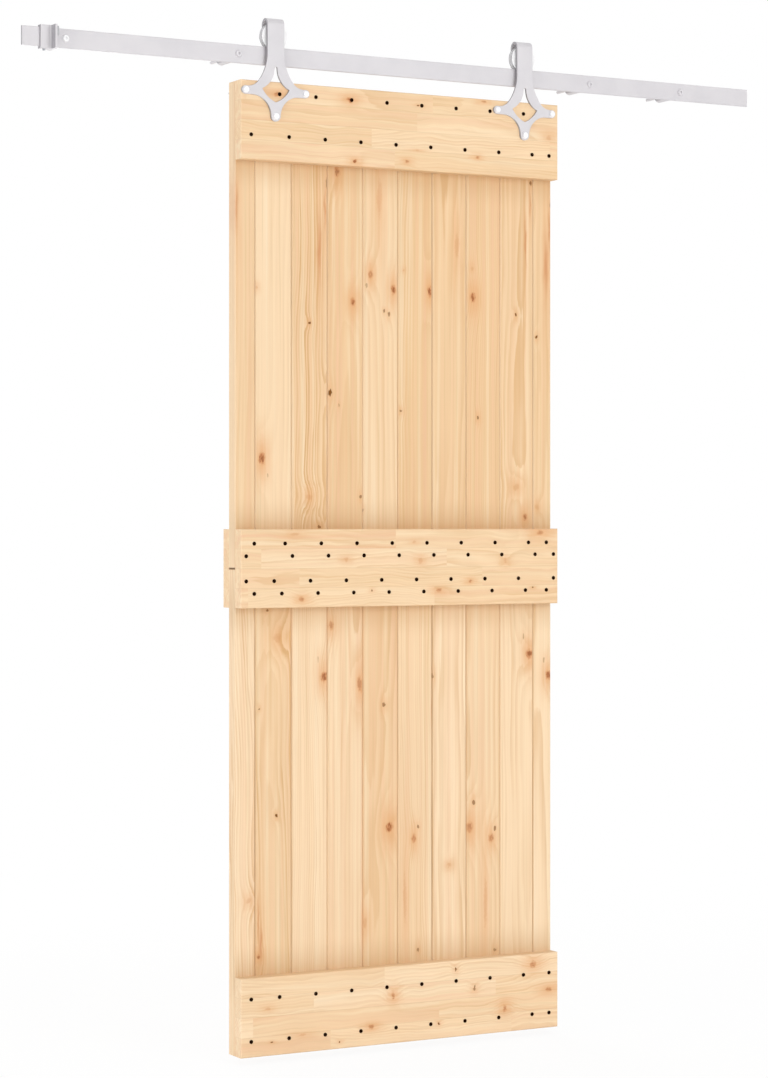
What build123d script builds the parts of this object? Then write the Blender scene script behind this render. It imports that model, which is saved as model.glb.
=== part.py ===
import os

from build123d import *

os.makedirs("parts", exist_ok=True)

# Sizes in millimetres. The wall is the plane y = 0, the front of the door faces -Y, X runs along the
# rail and z = 0 is the middle of the rail's height. x = 0 is midway between the outer wall bolts.
overrun = 1
fit_gap = 0.05
running_gap = 0.3

# Door leaf: upright tongued and grooved planks held by level boards, the ledges
door_width = 800
door_height = 2100
plank_cover_width = 88
end_plank_least = 44
plank_thickness = 30
ledge_thickness = 30
back_ledge_thickness = 30
ledge_height = 170
ledge_arris_width = 2
butt_gap = 1.5
seam_gap = 0.4
seam_chamfer = 2.5
tongue_length = 7
tongue_thickness = 6
groove_clearance = 0.3

# Rail and what holds it off the wall
rail_length = 1830
rail_height = 40
rail_thickness = 6
rail_arris_width = 0.8
wall_clearance = 4
door_drop = 35
wall_bolt_shares = (0.0525, 0.27, 0.758, 0.895)
wall_bolt_r = 4
wall_thread_r = 3.8
wall_bolt_grip = 50
wall_bolt_head_r = 8
wall_bolt_head_height = 4
wall_bolt_key_r = 3
wall_bolt_key_depth = 2.4
spacer_r = 13
spacer_recess_r = 9
spacer_recess_depth = 4

# End stop clamped on the left end of the rail
stop_inset = 39
stop_width = 25
stop_wall = 4.5
stop_reach = 24
stop_bend_r = 5
stop_lip = 7
bumper_height = 20
bumper_rise = 12
bumper_depth = 14
bumper_thickness = 8
bumper_edge = 2
bumper_stem_r = 3
stop_screw_r = 3
stop_screw_length = 8
stop_key_r = 1.7
stop_key_depth = 3

# Hangers: a strap bent over a grooved wheel, ending below in an open four-pointed star
rest_share = 0.4825
hanger_offset = 38
hanger_shift = 5
strap_width = 40
strap_thickness = 5
flare_rise = 61
shoulder_half = 40.5
point_reach = 72
point_drop = 22
point_r = 9
foot_drop = 75
foot_r = 11
cutout_rise = 32
cutout_top_r = 3.5
cutout_sharp_corners = 3
cutout_half = 33
cutout_side_drop = 16.5
cutout_foot_drop = 45
cutout_bow = 4
cutout_corner_r = 1.5
back_leg_clearance = 5
bend_clearance = 24.5

# Hanger bolts through strap, ledge and plank
hanger_bolt_r = 4
hanger_bolt_head_r = 8
hanger_bolt_head_height = 4
hanger_bolt_end = 2
head_slope_share = 0.5
hex_sides = 6
bolt_clearance = 0.2
nut_across_flats = 13
nut_height = 6.5

# Wheels, their bushes and axles
wheel_groove_r = 23
wheel_flange_depth = 7
wheel_width = 13
wheel_side_gap = 3
groove_side_gap = 0.4
groove_taper = 1.2
bush_r = 8
axle_r = 4
axle_seat = 3
axle_head_r = 7
axle_head_height = 2.5
axle_washer_r = 8

# Depths worked out from the wall forwards
back_ledge_front = -(wall_clearance + back_ledge_thickness)
plank_front = back_ledge_front - plank_thickness
ledge_front = plank_front - ledge_thickness
leg_gap = wheel_width + 2 * wheel_side_gap
wheel_y = ledge_front + leg_gap / 2
rail_back = wheel_y + rail_thickness / 2
rail_front = wheel_y - rail_thickness / 2
back_leg_front = wheel_y + leg_gap / 2
back_leg_back = back_leg_front + strap_thickness

# Heights
rail_top = rail_height / 2
door_top = -rail_height / 2 - door_drop
door_bottom = door_top - door_height
door_middle = (door_top + door_bottom) / 2
axle_z = rail_top + running_gap + wheel_groove_r

# Places along the rail
rail_left = -rail_length * (wall_bolt_shares[0] + wall_bolt_shares[-1]) / 2
wall_bolt_xs = [rail_left + share * rail_length for share in wall_bolt_shares]
door_left = rail_left + rest_share * (rail_length - door_width)
door_right = door_left + door_width

# Plank seams: full planks from the middle out, and what is left over shared by the two end planks
full_planks = int((door_width - 2 * end_plank_least) // plank_cover_width)
end_plank = (door_width - full_planks * plank_cover_width) / 2
seams = [door_left]
seams += [door_left + end_plank + i * plank_cover_width for i in range(full_planks + 1)]
seams += [door_right]
plank_count = full_planks + 2

# Each hanger stands on the second plank, so that its side bolts go through the planks next to it.
# Both are set a little to the left of the places that would be even on the door.
hanger_inset = end_plank + hanger_offset
hanger_xs = {
    "left": door_left + hanger_inset - hanger_shift,
    "right": door_right - hanger_inset - hanger_shift,
}


def keep(part, name):
    part.label = name
    export_step(part, f"parts/{name}.step")


def facing(x, y, z):
    return Plane(origin=(x, y, z), x_dir=(1, 0, 0), z_dir=(0, -1, 0))


def inward(x, y, z):
    return Plane(origin=(x, y, z), x_dir=(-1, 0, 0), z_dir=(0, 1, 0))


def turned(x, y, z):
    return Plane(origin=(x, y, z), x_dir=(1, 0, 0), z_dir=(0, 0, 1))


def along_y(x, y, z):
    return Axis((x, y, z), (0, 1, 0))


# Bolt places, as (x, z) pairs
def hanger_bolt_places(x):
    return [
        (x - point_reach, door_top - point_drop),
        (x + point_reach, door_top - point_drop),
        (x, door_top - foot_drop),
    ]


all_bolt_places = [place for x in hanger_xs.values() for place in hanger_bolt_places(x)]


def within(places, left, right, low, high):
    return [place for place in places if left < place[0] < right and low < place[1] < high]


def drill_bolts(places, depth):
    with BuildSketch(facing(0, ledge_front, 0)) as holes:
        with Locations(*places):
            Circle(hanger_bolt_r + bolt_clearance)
    extrude(holes.sketch, amount=-depth, mode=Mode.SUBTRACT)


# Planks are counted from the nearer end of the door
def plank_place(index):
    from_right = plank_count - index
    return f"left_{index + 1}" if index < from_right else f"right_{from_right}"


def plank(name, index, low, high):
    left = seams[index]
    right = seams[index + 1]
    grooved = index > 0
    tongued = index < plank_count - 1
    if grooved:
        left += seam_gap / 2
    if tongued:
        right -= seam_gap / 2
    middle_y = (plank_front + back_ledge_front) / 2
    groove_thickness = tongue_thickness + 2 * groove_clearance
    bolt_holes = within(all_bolt_places, left, right, low, high)
    with BuildPart() as board:
        with BuildSketch(Plane.XY.offset(low)) as section:
            with Locations(((left + right) / 2, middle_y)):
                Rectangle(right - left, plank_thickness)
            chamfer(section.vertices().group_by(Axis.Y)[0], length=seam_chamfer)
            if tongued:
                with Locations((right, middle_y)):
                    Rectangle(tongue_length, tongue_thickness, align=(Align.MIN, Align.CENTER))
            if grooved:
                with Locations((left, middle_y)):
                    Rectangle(
                        tongue_length,
                        groove_thickness,
                        align=(Align.MIN, Align.CENTER),
                        mode=Mode.SUBTRACT,
                    )
        extrude(amount=high - low)
        if bolt_holes:
            drill_bolts(bolt_holes, ledge_thickness + plank_thickness + overrun)
    keep(board.part, name)


def ledge(name, low, front, thickness, bolt_places=()):
    with BuildPart() as board:
        with BuildSketch(facing((door_left + door_right) / 2, front + thickness, low + ledge_height / 2)):
            Rectangle(door_width, ledge_height)
        extrude(amount=thickness)
        outer = Axis.Y if front < plank_front else -Axis.Y
        chamfer(board.faces().sort_by(outer)[0].edges(), length=ledge_arris_width)
        if bolt_places:
            drill_bolts(bolt_places, ledge_thickness + overrun)
    keep(board.part, name)


def rail():
    with BuildPart() as bar:
        with BuildSketch(facing(rail_left + rail_length / 2, rail_back, 0)):
            Rectangle(rail_length, rail_height)
        extrude(amount=rail_thickness)
        chamfer(bar.edges().filter_by(Axis.X), length=rail_arris_width)
        with BuildSketch(facing(0, rail_back, 0)):
            with Locations(*[(x, 0) for x in wall_bolt_xs]):
                Circle(wall_bolt_r + bolt_clearance)
        extrude(amount=rail_thickness, mode=Mode.SUBTRACT)
    keep(bar.part, "rail")


# The spacers are recessed at the wall, so that they stand on their rims
def rail_spacers():
    places = [(x, 0) for x in wall_bolt_xs]
    with BuildPart() as group:
        with BuildSketch(facing(0, 0, 0)):
            with Locations(*places):
                Circle(spacer_r)
                Circle(wall_bolt_r + bolt_clearance, mode=Mode.SUBTRACT)
        extrude(amount=-rail_back)
        with BuildSketch(facing(0, 0, 0)):
            with Locations(*places):
                Circle(spacer_recess_r)
        extrude(amount=spacer_recess_depth, mode=Mode.SUBTRACT)
    keep(group.part, "rail_spacers")


# A low head with a sloping rim, a plain shank and a blunt end, turned about an axis along Y
def bolt_profile(head_r, head_height, shank_r, length):
    Polyline(
        (0, -head_height),
        (head_r - head_slope_share * head_height, -head_height),
        (head_r, 0),
        (shank_r, 0),
        (shank_r, length),
        (0, length),
        close=True,
    )


# Each wall bolt fills the rail and the spacer, and is a little thinner where it grips in the wall
def wall_bolts():
    with BuildPart() as group:
        for x in wall_bolt_xs:
            with BuildSketch(turned(x, rail_front, 0)):
                with BuildLine():
                    bolt_profile(wall_bolt_head_r, wall_bolt_head_height, wall_bolt_r, -rail_front)
                make_face()
            revolve(axis=along_y(x, 0, 0))
        with BuildSketch(inward(0, 0, 0)):
            with Locations(*[(-x, 0) for x in wall_bolt_xs]):
                Circle(wall_thread_r)
        extrude(amount=wall_bolt_grip)
        with BuildSketch(facing(0, rail_front - wall_bolt_head_height, 0)):
            with Locations(*[(x, 0) for x in wall_bolt_xs]):
                RegularPolygon(wall_bolt_key_r, hex_sides)
        extrude(amount=-wall_bolt_key_depth, mode=Mode.SUBTRACT)
    keep(group.part, "wall_bolts")


# The stop is one folded strip: it hooks over the top and bottom of the rail, lies on its front and
# turns out towards the door side, where a rubber bumper meets the strap of the left hanger
stop_left = rail_left + stop_inset
stop_right = stop_left + stop_width + stop_wall
stop_outer = rail_height / 2 + stop_wall
bumper_y = ledge_front - strap_thickness / 2


def end_stop():
    front = rail_front - stop_wall
    with BuildPart() as stop:
        with BuildSketch(Plane.XY.offset(-stop_outer)):
            with BuildLine():
                Polyline(
                    (stop_left, rail_front),
                    (stop_left, front),
                    (stop_right - stop_wall - stop_bend_r, front),
                )
                RadiusArc(
                    (stop_right - stop_wall - stop_bend_r, front),
                    (stop_right - stop_wall, front - stop_bend_r),
                    stop_bend_r,
                )
                Polyline(
                    (stop_right - stop_wall, front - stop_bend_r),
                    (stop_right - stop_wall, rail_front - stop_reach),
                    (stop_right, rail_front - stop_reach),
                    (stop_right, front - stop_bend_r),
                )
                RadiusArc(
                    (stop_right, front - stop_bend_r),
                    (stop_right - stop_wall - stop_bend_r, rail_front),
                    -(stop_bend_r + stop_wall),
                )
                Line((stop_right - stop_wall - stop_bend_r, rail_front), (stop_left, rail_front))
            make_face()
        extrude(amount=2 * stop_outer)
        with BuildSketch(Plane.YZ.offset(stop_left)):
            for side in (1, -1):
                with Locations((rail_front, side * stop_outer)):
                    Rectangle(
                        rail_thickness + stop_wall,
                        stop_wall,
                        align=(Align.MIN, Align.MAX if side > 0 else Align.MIN),
                    )
                with Locations((rail_back, side * stop_outer)):
                    Rectangle(
                        stop_wall,
                        stop_wall + stop_lip,
                        align=(Align.MIN, Align.MAX if side > 0 else Align.MIN),
                    )
        extrude(amount=stop_width - stop_bend_r)
        with BuildSketch(Plane.XY.offset(-stop_outer)):
            with Locations((stop_left + (stop_width - stop_bend_r) / 2, wheel_y)):
                Circle(stop_screw_r + fit_gap)
        extrude(amount=stop_wall, mode=Mode.SUBTRACT)
        with BuildSketch(Plane.YZ.offset(stop_right)):
            with Locations((bumper_y, bumper_rise)):
                Circle(bumper_stem_r + fit_gap)
        extrude(amount=-stop_wall, mode=Mode.SUBTRACT)
    keep(stop.part, "end_stop")


def end_stop_bumper():
    with BuildPart() as bumper:
        with BuildSketch(Plane.YZ.offset(stop_right)):
            with Locations((bumper_y, bumper_rise)):
                Rectangle(bumper_depth, bumper_height)
        extrude(amount=bumper_thickness)
        chamfer(bumper.faces().sort_by(Axis.X)[-1].edges(), length=bumper_edge)
        with BuildSketch(Plane.YZ.offset(stop_right)):
            with Locations((bumper_y, bumper_rise)):
                Circle(bumper_stem_r)
        extrude(amount=-stop_wall)
    keep(bumper.part, "end_stop_bumper")


def end_stop_screw():
    with BuildPart() as screw:
        with BuildSketch(Plane.XY.offset(-rail_height / 2 - stop_screw_length)):
            with Locations((stop_left + (stop_width - stop_bend_r) / 2, wheel_y)):
                Circle(stop_screw_r)
        extrude(amount=stop_screw_length)
        with BuildSketch(Plane.XY.offset(-rail_height / 2 - stop_screw_length)):
            with Locations((stop_left + (stop_width - stop_bend_r) / 2, wheel_y)):
                RegularPolygon(stop_key_r, hex_sides)
        extrude(amount=stop_key_depth, mode=Mode.SUBTRACT)
    keep(screw.part, "end_stop_screw")


# Half outline of the star, from the strap's edge out to the side point and down to the foot. The
# sides are hollow arcs, and the lower one is a quarter circle.
def star_half():
    lower_r = foot_drop - point_drop - point_r
    Line((0, flare_rise), (strap_width / 2, flare_rise))
    neck = TangentArc((strap_width / 2, flare_rise), (shoulder_half, 0), tangent=(0, -1))
    TangentArc(neck @ 1, (point_reach, point_r - point_drop), tangent=neck % 1)
    ThreePointArc(
        (point_reach, point_r - point_drop),
        (point_reach + point_r, -point_drop),
        (point_reach, -point_r - point_drop),
    )
    Line((point_reach, -point_r - point_drop), (foot_r + lower_r, -point_r - point_drop))
    TangentArc(
        (foot_r + lower_r, -point_r - point_drop),
        (foot_r, -foot_drop),
        tangent=(-1, 0),
    )
    RadiusArc((foot_r, -foot_drop), (0, -foot_drop - foot_r), foot_r)
    Line((0, -foot_drop - foot_r), (0, flare_rise))


def cutout_half_outline():
    crown = TangentArc((0, cutout_rise), (cutout_top_r, cutout_rise - cutout_top_r), tangent=(1, 0))
    TangentArc(crown @ 1, (cutout_half, -cutout_side_drop), tangent=(0, -1))
    SagittaArc((cutout_half, -cutout_side_drop), (0, -cutout_foot_drop), cutout_bow)
    Line((0, -cutout_foot_drop), (0, cutout_rise))


bend_z = axle_z + bend_clearance
back_leg_end = rail_top + back_leg_clearance


def hanger_strap(name, x):
    half_gap = leg_gap / 2
    outer = half_gap + strap_thickness
    with BuildPart() as strap:
        with BuildSketch(facing(x, ledge_front, door_top)):
            with BuildLine():
                star_half()
            make_face()
            mirror(about=Plane.YZ)
        extrude(amount=strap_thickness)
        with BuildSketch(facing(x, ledge_front, door_top)) as cutout:
            with BuildLine():
                cutout_half_outline()
            make_face()
            mirror(about=Plane.YZ)
            fillet(cutout.vertices().sort_by(Axis.Y)[:cutout_sharp_corners], radius=cutout_corner_r)
        extrude(amount=strap_thickness, mode=Mode.SUBTRACT)
        with BuildSketch(Plane.YZ.offset(x - strap_width / 2)):
            with BuildLine():
                Polyline(
                    (wheel_y - half_gap, bend_z),
                    (wheel_y - half_gap, door_top + flare_rise),
                    (wheel_y - outer, door_top + flare_rise),
                    (wheel_y - outer, bend_z),
                )
                ThreePointArc(
                    (wheel_y - outer, bend_z),
                    (wheel_y, bend_z + outer),
                    (wheel_y + outer, bend_z),
                )
                Polyline(
                    (wheel_y + outer, bend_z),
                    (wheel_y + outer, back_leg_end),
                    (wheel_y + half_gap, back_leg_end),
                    (wheel_y + half_gap, bend_z),
                )
                ThreePointArc(
                    (wheel_y + half_gap, bend_z),
                    (wheel_y, bend_z + half_gap),
                    (wheel_y - half_gap, bend_z),
                )
            make_face()
        extrude(amount=strap_width)
        with BuildSketch(facing(x, ledge_front - axle_seat, axle_z)):
            Circle(axle_r + fit_gap)
        extrude(amount=-(axle_seat + leg_gap + strap_thickness + overrun), mode=Mode.SUBTRACT)
        with BuildSketch(facing(0, ledge_front, 0)):
            with Locations(*hanger_bolt_places(x)):
                Circle(hanger_bolt_r + bolt_clearance)
        extrude(amount=strap_thickness, mode=Mode.SUBTRACT)
    keep(strap.part, name)


def hanger_bolts():
    head_y = ledge_front - strap_thickness
    length = strap_thickness + ledge_thickness + plank_thickness + nut_height + hanger_bolt_end
    with BuildPart() as group:
        for bolt_x, bolt_z in all_bolt_places:
            with BuildSketch(turned(bolt_x, head_y, bolt_z)):
                with BuildLine():
                    bolt_profile(hanger_bolt_head_r, hanger_bolt_head_height, hanger_bolt_r, length)
                make_face()
            revolve(axis=along_y(bolt_x, 0, bolt_z))
    keep(group.part, "hanger_bolts")


def hanger_nuts():
    with BuildPart() as group:
        with BuildSketch(facing(0, back_ledge_front, 0)):
            with Locations(*all_bolt_places):
                RegularPolygon(nut_across_flats / 2, hex_sides, major_radius=False)
                Circle(hanger_bolt_r + fit_gap, mode=Mode.SUBTRACT)
        extrude(amount=-nut_height)
    keep(group.part, "hanger_nuts")


# Wheel section: a groove with sloping sides that straddles the rail, and a bore for the bush
def hanger_wheel(name, x):
    flange_r = wheel_groove_r + wheel_flange_depth
    half_width = wheel_width / 2
    groove_half = rail_thickness / 2 + groove_side_gap
    with BuildPart() as wheel:
        with BuildSketch(turned(x, wheel_y, axle_z)):
            with BuildLine():
                Polyline(
                    (bush_r + fit_gap, -half_width),
                    (flange_r, -half_width),
                    (flange_r, -groove_half - groove_taper),
                    (wheel_groove_r, -groove_half),
                    (wheel_groove_r, groove_half),
                    (flange_r, groove_half + groove_taper),
                    (flange_r, half_width),
                    (bush_r + fit_gap, half_width),
                    close=True,
                )
            make_face()
        revolve(axis=along_y(x, wheel_y, axle_z))
    keep(wheel.part, name)


def wheel_bush(name, x):
    with BuildPart() as bush:
        with BuildSketch(facing(x, wheel_y + wheel_width / 2, axle_z)):
            Circle(bush_r)
            Circle(axle_r + fit_gap, mode=Mode.SUBTRACT)
        extrude(amount=wheel_width)
    keep(bush.part, name)


# The axle stands in a blind hole in the front leg and is riveted over behind the back leg
def wheel_axles():
    front = ledge_front - axle_seat
    head_y = back_leg_back + axle_head_height
    with BuildPart() as group:
        for x in hanger_xs.values():
            with BuildSketch(turned(x, 0, axle_z)):
                with BuildLine():
                    Polyline(
                        (0, front),
                        (axle_r, front),
                        (axle_r, back_leg_back),
                        (axle_head_r, back_leg_back),
                        (axle_r, head_y),
                        (0, head_y),
                        close=True,
                    )
                make_face()
            revolve(axis=along_y(x, 0, axle_z))
    keep(group.part, "wheel_axles")


def axle_washers():
    thickness = wheel_side_gap - running_gap
    with BuildPart() as group:
        for back in (ledge_front + thickness, back_leg_front):
            with BuildSketch(facing(0, back, axle_z)):
                with Locations(*[(x, 0) for x in hanger_xs.values()]):
                    Circle(axle_washer_r)
                    Circle(axle_r + fit_gap, mode=Mode.SUBTRACT)
            extrude(amount=thickness)
    keep(group.part, "axle_washers")


rail()
wall_bolts()
rail_spacers()
end_stop()
end_stop_bumper()
end_stop_screw()

for i in range(plank_count):
    place = plank_place(i)
    plank(f"plank_upper_{place}", i, door_middle + butt_gap / 2, door_top)
    plank(f"plank_lower_{place}", i, door_bottom, door_middle - butt_gap / 2)
ledge_low = door_middle - ledge_height / 2
top_low = door_top - ledge_height
ledge("top_ledge", top_low, ledge_front, ledge_thickness, all_bolt_places)
ledge("middle_front_ledge", ledge_low, ledge_front, ledge_thickness)
ledge("middle_back_ledge", ledge_low, back_ledge_front, back_ledge_thickness)
ledge("bottom_ledge", door_bottom, ledge_front, ledge_thickness)

hanger_bolts()
hanger_nuts()
wheel_axles()
axle_washers()
for side, hanger_x in hanger_xs.items():
    hanger_strap(f"hanger_strap_{side}", hanger_x)
    hanger_wheel(f"hanger_wheel_{side}", hanger_x)
    wheel_bush(f"wheel_bush_{side}", hanger_x)
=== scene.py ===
import math

import bmesh
import bpy
from mathutils import Matrix, Vector


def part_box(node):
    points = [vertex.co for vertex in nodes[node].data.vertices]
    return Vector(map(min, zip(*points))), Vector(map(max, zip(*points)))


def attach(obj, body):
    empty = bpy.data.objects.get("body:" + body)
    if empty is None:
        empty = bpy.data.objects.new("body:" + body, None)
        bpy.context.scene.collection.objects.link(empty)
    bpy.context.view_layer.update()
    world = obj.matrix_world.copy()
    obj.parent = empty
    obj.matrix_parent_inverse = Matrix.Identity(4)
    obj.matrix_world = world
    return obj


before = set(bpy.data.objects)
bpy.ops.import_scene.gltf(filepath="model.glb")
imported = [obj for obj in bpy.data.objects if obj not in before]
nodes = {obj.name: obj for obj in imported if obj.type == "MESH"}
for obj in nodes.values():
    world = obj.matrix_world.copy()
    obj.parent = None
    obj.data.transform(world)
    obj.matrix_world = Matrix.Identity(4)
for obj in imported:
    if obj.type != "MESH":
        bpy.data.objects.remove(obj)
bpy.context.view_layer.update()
mm = 0.001

upperPlanks = sorted(name for name in nodes if name.startswith("plank_upper"))
lowerPlanks = sorted(name for name in nodes if name.startswith("plank_lower"))
topLow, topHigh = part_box("top_ledge")
doorLeft, doorRight = topLow.x, topHigh.x
doorTop = topHigh.z
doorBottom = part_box("bottom_ledge")[0].z
ledgeFront = topLow.y
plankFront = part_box(upperPlanks[0])[0].y
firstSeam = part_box("plank_upper_left_2")[0].x
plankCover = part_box("plank_upper_left_3")[0].x - firstSeam
plankSeams = [firstSeam + i * plankCover for i in range(len(upperPlanks) - 1)]
print("frame loaded:", len(nodes), "nodes")


# colour as it is read on screen, 0 to 255, on the renderer's own scale
def tint(red, green, blue):
    shares = [c / 255 for c in (red, green, blue)]
    return tuple(c / 12.92 if c < 0.04 else ((c + 0.055) / 1.055) ** 2.4 for c in shares) + (1.0,)


def plug(tree, socket, value):
    if isinstance(value, bpy.types.NodeSocket):
        tree.links.new(value, socket)
    else:
        socket.default_value = value


def calc(tree, operation, *values):
    node = tree.nodes.new("ShaderNodeMath")
    node.operation = operation
    for socket, value in zip(node.inputs, values):
        plug(tree, socket, value)
    return node.outputs[0]


def chained(tree, operation, values):
    total = values[0]
    for value in values[1:]:
        total = calc(tree, operation, total, value)
    return total


def addUp(tree, *values):
    return chained(tree, "ADD", values)


def times(tree, *values):
    return chained(tree, "MULTIPLY", values)


def minus(tree, first, second):
    return calc(tree, "SUBTRACT", first, second)


def spread(tree, value, width, middle=0.5):  # value less its middle, times width
    return times(tree, minus(tree, value, middle), width)


def joined(tree, x, y, z=0.0):
    node = tree.nodes.new("ShaderNodeCombineXYZ")
    for socket, value in zip(node.inputs, (x, y, z)):
        plug(tree, socket, value)
    return node.outputs[0]


def split(tree, value):
    node = tree.nodes.new("ShaderNodeSeparateXYZ")
    plug(tree, node.inputs[0], value)
    return node.outputs


def scaled(tree, parts, scales):  # a place with its own scale along each axis
    return joined(tree, *[times(tree, part, scale) for part, scale in zip(parts, scales)])


def noise(tree, coords, scale=1.0, detail=2.0, roughness=0.5):
    node = tree.nodes.new("ShaderNodeTexNoise")
    plug(tree, node.inputs["Vector"], coords)
    node.inputs["Scale"].default_value = scale
    node.inputs["Detail"].default_value = detail
    node.inputs["Roughness"].default_value = roughness
    return node.outputs["Fac"]


def chance(tree, coords):  # one random value for each whole number place
    node = tree.nodes.new("ShaderNodeTexWhiteNoise")
    node.noise_dimensions = "3D"
    plug(tree, node.inputs["Vector"], coords)
    return node.outputs


def eased(tree, value, start, end, low=0.0, high=1.0):
    node = tree.nodes.new("ShaderNodeMapRange")
    node.interpolation_type = "SMOOTHSTEP"
    keys = ("Value", "From Min", "From Max", "To Min", "To Max")
    for key, number in zip(keys, (value, start, end, low, high)):
        plug(tree, node.inputs[key], number)
    return node.outputs[0]


def closeTo(tree, value, edge, reach, share):  # share at the edge, nothing from reach on
    away = calc(tree, "ABSOLUTE", minus(tree, value, edge))
    return eased(tree, away, reach, 0.0, 0.0, share)


def blendColour(tree, amount, first, second):
    node = tree.nodes.new("ShaderNodeMix")
    node.data_type = "RGBA"
    for key, value in ((0, amount), (6, first), (7, second)):
        plug(tree, node.inputs[key], value)
    return node.outputs[2]


def shaded(tree, colour, value):
    node = tree.nodes.new("ShaderNodeHueSaturation")
    plug(tree, node.inputs["Color"], colour)
    plug(tree, node.inputs["Value"], value)
    return node.outputs[0]


def newGroup(name, inputs, outputs):
    group = bpy.data.node_groups.new(name, "ShaderNodeTree")
    for key, kind in inputs.items():
        group.interface.new_socket(name=key, in_out="INPUT", socket_type=kind)
    for key, kind in outputs.items():
        group.interface.new_socket(name=key, in_out="OUTPUT", socket_type=kind)
    start = group.nodes.new("NodeGroupInput")
    end = group.nodes.new("NodeGroupOutput")
    return group, start.outputs, end.inputs


def useGroup(tree, group, **values):
    node = tree.nodes.new("ShaderNodeGroup")
    node.node_tree = group
    for key, value in values.items():
        plug(tree, node.inputs[key], value)
    return node.outputs


def newMaterial(name, **settings):
    material = bpy.data.materials.new(name)
    material.use_nodes = True
    shader = material.node_tree.nodes["Principled BSDF"]
    for key, value in settings.items():
        shader.inputs[key].default_value = value
    return material, material.node_tree, shader


def objectPlace(tree):
    return tree.nodes.new("ShaderNodeTexCoord").outputs["Object"]


# faces that look along one axis of the piece, 1 where they do
def facingAlong(tree, axis, start=0.55, end=0.8):
    normal = tree.nodes.new("ShaderNodeTexCoord").outputs["Normal"]
    return eased(tree, calc(tree, "ABSOLUTE", split(tree, normal)[axis]), start, end)


def roughen(tree, shader, height, strength, distance, edge=0.0):
    bump = tree.nodes.new("ShaderNodeBump")
    bump.inputs["Strength"].default_value = strength
    bump.inputs["Distance"].default_value = distance
    plug(tree, bump.inputs["Height"], height)
    if edge:  # softened edges
        bevel = tree.nodes.new("ShaderNodeBevel")
        bevel.samples = 4
        bevel.inputs["Radius"].default_value = edge
        plug(tree, bump.inputs["Normal"], bevel.outputs[0])
    plug(tree, shader.inputs["Normal"], bump.outputs[0])


# Pine

pine = dict(
    pale=tint(253, 234, 205),
    cream=tint(250, 223, 187),
    tan=tint(235, 198, 151),
    rose=tint(238, 194, 156),
    olive=tint(218, 186, 135),
    lateWood=tint(220, 175, 123),
    halo=tint(226, 165, 110),
    knot=tint(206, 134, 82),
    heart=tint(146, 82, 44),
    # dark knots, also used for the painted shade in the gap between the plank rows
    darkKnotAndShade=tint(130, 80, 26),
    # dirt in the joints and glue lines, and painted shade along the ledges
    grimeAndShade=tint(192, 154, 108),
    gloss=0.2,
    bump=0.4,
    bumpDepth=0.0005,
)
floatKind = "NodeSocketFloat"

# a pair of scales is across and along the grain, edges and fades count in half widths squared
knotShape = dict(
    wobble=0.012,
    wobbleScale=110,
    sway=0.009,
    swayScales=(85, 22),
    mottleScales=(420, 130),
    ragged=1.9,
    tailScales=(0.6, 0.25),
    liftFade=-0.16,
    liftHeight=1.6,
    coreEdge=(1.3, 0.1),
    heartEdge=(0.55, -0.1),
    darkEdge=(0.1, 0.85),
    haloFade=-0.32,
    softFade=-1.0,
)


def makeKnotGroup():
    keys = ("along", "across", "mottle", "knotAlong", "knotAcross", "halfLength", "halfWidth")
    results = ("lift", "core", "heart", "dark", "halo", "soft")
    inputs = dict.fromkeys(keys, floatKind)
    outputs = dict.fromkeys(results, floatKind)
    group, start, end = newGroup("pineKnot", inputs, outputs)
    u = calc(group, "DIVIDE", minus(group, start["across"], start["knotAcross"]), start["halfWidth"])
    v = calc(group, "DIVIDE", minus(group, start["along"], start["knotAlong"]), start["halfLength"])
    uu = times(group, u, u)
    vv = times(group, v, v)
    reach = addUp(group, uu, vv)
    ragged = addUp(group, reach, spread(group, start["mottle"], knotShape["ragged"]))
    # runs out along the grain
    tailAcross, tailAlong = knotShape["tailScales"]
    tail = addUp(group, times(group, vv, tailAlong), times(group, uu, tailAcross))

    def faded(value, fade):
        return calc(group, "EXPONENT", times(group, value, fade))

    core = eased(group, ragged, *knotShape["coreEdge"])
    liftHeight = times(group, start["halfWidth"], knotShape["liftHeight"])
    plug(group, end["lift"], times(group, faded(tail, knotShape["liftFade"]), liftHeight))
    plug(group, end["core"], core)
    plug(group, end["heart"], eased(group, ragged, *knotShape["heartEdge"]))
    plug(group, end["dark"], eased(group, core, *knotShape["darkEdge"]))
    plug(group, end["halo"], faded(tail, knotShape["haloFade"]))
    plug(group, end["soft"], faded(reach, knotShape["softFade"]))
    return group


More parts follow.
